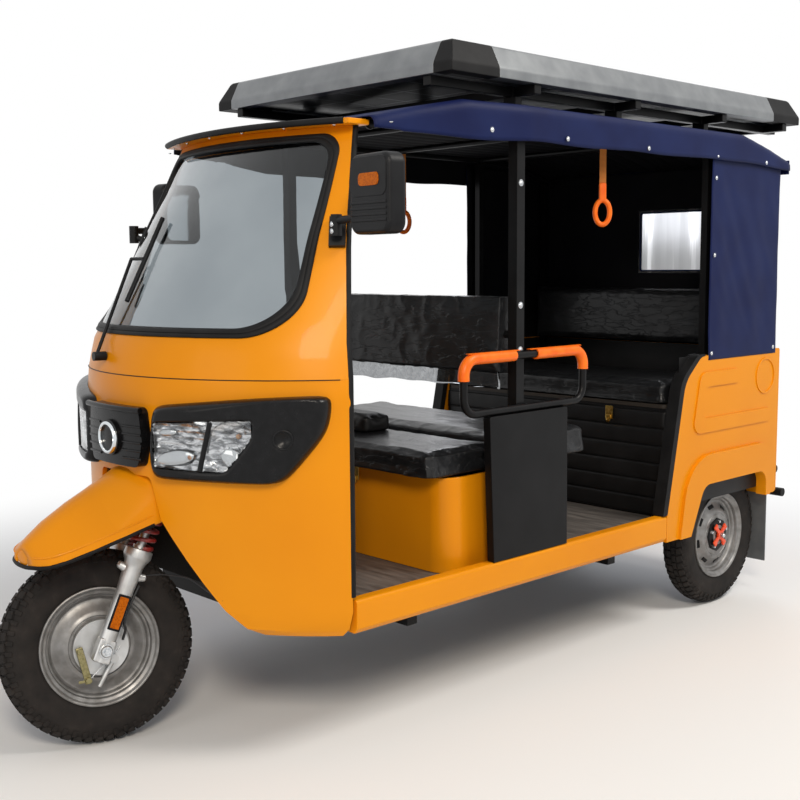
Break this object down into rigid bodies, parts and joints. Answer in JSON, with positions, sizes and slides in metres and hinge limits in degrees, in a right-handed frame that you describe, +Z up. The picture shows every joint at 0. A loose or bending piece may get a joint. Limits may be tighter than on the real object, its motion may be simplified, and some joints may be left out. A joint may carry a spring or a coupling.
{
  "type": "electric passenger tricycle",
  "caption": "Open-sided electric passenger tricycle: rounded cab with windscreen, driver's bench and facing rear benches under a fabric canopy and solar panel; steers, rolls, rear seat lifts.",
  "frame": {"origin": "on the road, at the centre of the overall length and width", "axes": "+X to the vehicle's left, +Y to its rear, +Z up; it drives towards -Y"},
  "size_m": [1.402, 3.0769, 1.953],
  "materials": {
    "yellow_paint": "gloss",
    "black_steel": "satin",
    "floor_mat": "matt",
    "clear_glass": "gloss",
    "clear_sheet": "gloss",
    "black_rubber": "matt",
    "black_plastic": "satin",
    "gloss_black": "gloss",
    "lamp_lens": "gloss",
    "red_lens": "gloss",
    "orange_plastic": "satin",
    "blue_canvas": "matt",
    "grey_flap": "matt",
    "seat_vinyl": "satin",
    "plywood": "matt",
    "solar_glass": "gloss",
    "silver_aluminium": "satin",
    "red_spring_paint": "gloss",
    "silver_rim": "satin",
    "tyre_rubber": "matt"
  },
  "bodies": {
    "body": {"chassis_frame": "black_steel", "rear_frame": "black_steel", "head_frame": "black_steel", "floor_pan": "floor_mat", "sills": "yellow_paint", "cowl": "yellow_paint", "screen_frame": "yellow_paint", "screen_glass": "clear_glass", "screen_rubber": "black_rubber", "visor": "yellow_paint", "headlamp_bezels": "gloss_black", "headlamp_lenses": "lamp_lens", "nose_grille": "gloss_black", "front_fender": "yellow_paint", "wheel_well": "yellow_paint", "instrument_shelf": "black_plastic", "wiper": "black_plastic", "mirrors": "black_plastic", "posts": "black_steel", "roof_frame": "black_steel", "side_panels": "black_steel", "handrails": "black_steel", "handrail_grips": "orange_plastic", "canopy_roof": "blue_canvas", "canopy_rear": "blue_canvas", "rear_window": "clear_sheet", "quarter_panels": "yellow_paint", "quarter_trims": "black_rubber", "tail_panel": "yellow_paint", "tail_lamps": "red_lens", "rear_bumper": "black_steel", "mud_flaps": "grey_flap", "front_seat_box": "yellow_paint", "battery_pack": "black_plastic", "driver_cushion": "seat_vinyl", "middle_cushion": "seat_vinyl", "middle_backrest": "seat_vinyl", "driver_pad": "seat_vinyl", "rear_seat_box": "black_plastic", "rear_backrest": "seat_vinyl", "hand_straps": "orange_plastic", "solar_cells": "solar_glass", "solar_border": "silver_aluminium", "solar_corners": "black_plastic", "solar_rack": "black_steel", "rear_axle": "black_steel", "leaf_springs": "black_steel"},
    "rear_seat": {"rear_seat_board": "plywood", "rear_cushion": "seat_vinyl"},
    "steering": {"fork": "silver_aluminium", "fork_springs": "red_spring_paint", "handlebar": "black_steel"},
    "front_wheel": {"front_rim": "silver_rim", "front_tyre": "tyre_rubber"},
    "rear_left_wheel": {"rear_left_rim": "silver_rim", "rear_left_tyre": "tyre_rubber"},
    "rear_right_wheel": {"rear_right_rim": "silver_rim", "rear_right_tyre": "tyre_rubber"}
  },
  "joints": [
    {"name": "steering", "type": "hinge", "parent": "body", "child": "steering", "pos_m": [-0.087, -0.99049, 0.7846], "axis": [0, 0.4226, 0.9063], "range_deg": [-19, 57]},
    {"name": "front_wheel_spin", "type": "hinge", "parent": "steering", "child": "front_wheel", "pos_m": [-0.09839, -1.26827, 0.26719], "axis": [0.9455, -0.2951, 0.1376], "continuous": true},
    {"name": "rear_left_wheel_spin", "type": "hinge", "parent": "body", "child": "rear_left_wheel", "pos_m": [0.388, 1.11, 0.268], "axis": [1, 0, 0], "continuous": true},
    {"name": "rear_right_wheel_spin", "type": "hinge", "parent": "body", "child": "rear_right_wheel", "pos_m": [-0.562, 1.11, 0.268], "axis": [1, 0, 0], "continuous": true},
    {"name": "rear_seat_lift", "type": "hinge", "parent": "body", "child": "rear_seat", "pos_m": [-0.087, 1.184, 0.812], "axis": [-1, 0, 0], "range_deg": [0, 60]}
  ]
}
